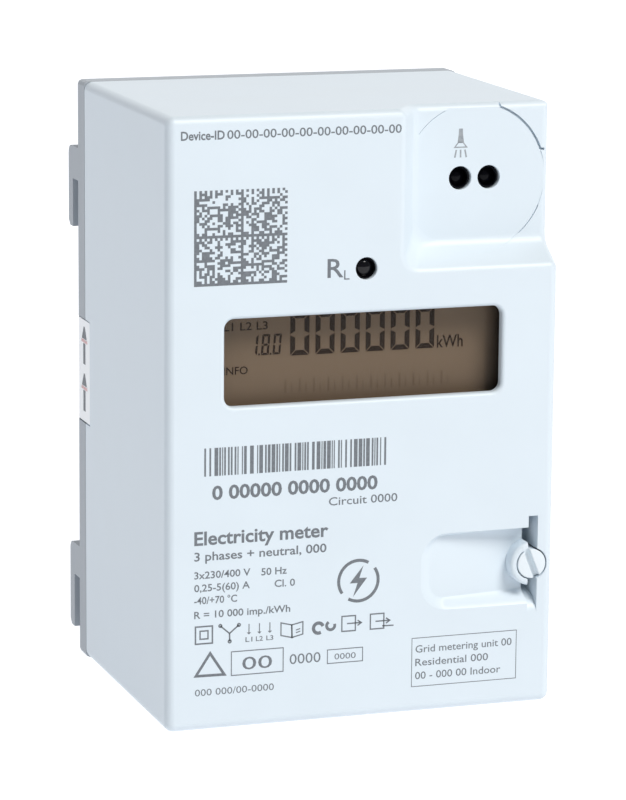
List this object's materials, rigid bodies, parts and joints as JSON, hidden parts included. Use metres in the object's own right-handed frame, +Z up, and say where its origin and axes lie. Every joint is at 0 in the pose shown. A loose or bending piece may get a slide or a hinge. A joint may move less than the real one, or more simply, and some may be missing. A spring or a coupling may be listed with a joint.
{
  "type": "smart electric meter",
  "caption": "Plug-in electricity meter with deep box cover, recessed display, optical reading port, quarter-turn lock, rear hanging hooks and contact blades.",
  "frame": {"origin": "bottom centre of the bounding box, on the surface the meter stands on", "axes": "+X to the right seen from the front, -Y out of the front face, +Y towards the wall, +Z up"},
  "size_m": [0.09, 0.08, 0.135],
  "materials": {
    "cover": "fine satin moulding, bluish white",
    "base": "fine matt moulding, light grey",
    "window": "clear polished",
    "lcd": "brown polariser, satin",
    "milky": "milky translucent",
    "dark_plastic": "black moulded",
    "black_lens": "polished black, clear to infrared",
    "red_led": "clear tinted",
    "circuit_board": "green solder resist",
    "rubber": "striped conductive rubber",
    "blue_insulation": "dipped epoxy",
    "winding_tape": "yellow polyester tape",
    "lead_insulation": "insulated wire",
    "contact_metal": "stamped copper alloy",
    "lock_plastic": "fine satin moulding",
    "print": "grey pad-printed ink",
    "lock_metal": "turned, satin",
    "steel": "zinc plated",
    "sticker": "printed foil"
  },
  "bodies": {
    "housing": {"backlight_led": "milky", "backup_battery": "steel", "base_plate": "base", "board_screw_1": "steel", "board_screw_2": "steel", "board_screw_3": "steel", "board_screw_4": "steel", "connector_header": "dark_plastic", "connector_socket": "dark_plastic", "contact_strip_lower": "rubber", "contact_strip_upper": "rubber", "current_transformer_1": "blue_insulation", "current_transformer_2": "blue_insulation", "current_transformer_3": "blue_insulation", "display_board": "circuit_board", "display_screw_1": "steel", "display_screw_2": "steel", "display_screw_3": "steel", "display_screw_4": "steel", "display_window": "window", "filter_capacitor": "blue_insulation", "front_cover": "cover", "ir_receiver": "dark_plastic", "ir_transmitter": "dark_plastic", "lcd_frame": "dark_plastic", "lcd_glass": "lcd", "light_guide": "milky", "magnet_ring": "steel", "main_board": "circuit_board", "metering_chip": "dark_plastic", "neutral_blade": "contact_metal", "neutral_pin": "steel", "optical_lens_left": "black_lens", "optical_lens_right": "black_lens", "phase_bar_1": "contact_metal", "phase_bar_2": "contact_metal", "phase_bar_3": "contact_metal", "power_transformer": "winding_tape", "processor_chip": "dark_plastic", "seal_sticker": "sticker", "storage_capacitor_1": "dark_plastic", "storage_capacitor_2": "dark_plastic", "test_lamp": "red_led", "test_lamp_lens": "black_lens", "test_lamp_spacer": "milky", "transformer_lead_1": "lead_insulation", "transformer_lead_2": "lead_insulation", "transformer_lead_3": "lead_insulation", "varistor_1": "blue_insulation", "varistor_2": "blue_insulation", "varistor_3": "blue_insulation", "voltage_pin_1": "steel", "voltage_pin_2": "steel", "voltage_pin_3": "steel"},
    "lock": {"lock_spindle": "lock_plastic", "lock_washer": "steel", "lock_tongue": "lock_metal", "lock_clip": "steel"}
  },
  "joints": [
    {"name": "lock_turn", "type": "hinge", "parent": "housing", "child": "lock", "pos_m": [0.04, 0, 0.0321], "axis": [0, 1, 0], "range_deg": [-68, 22]}
  ]
}
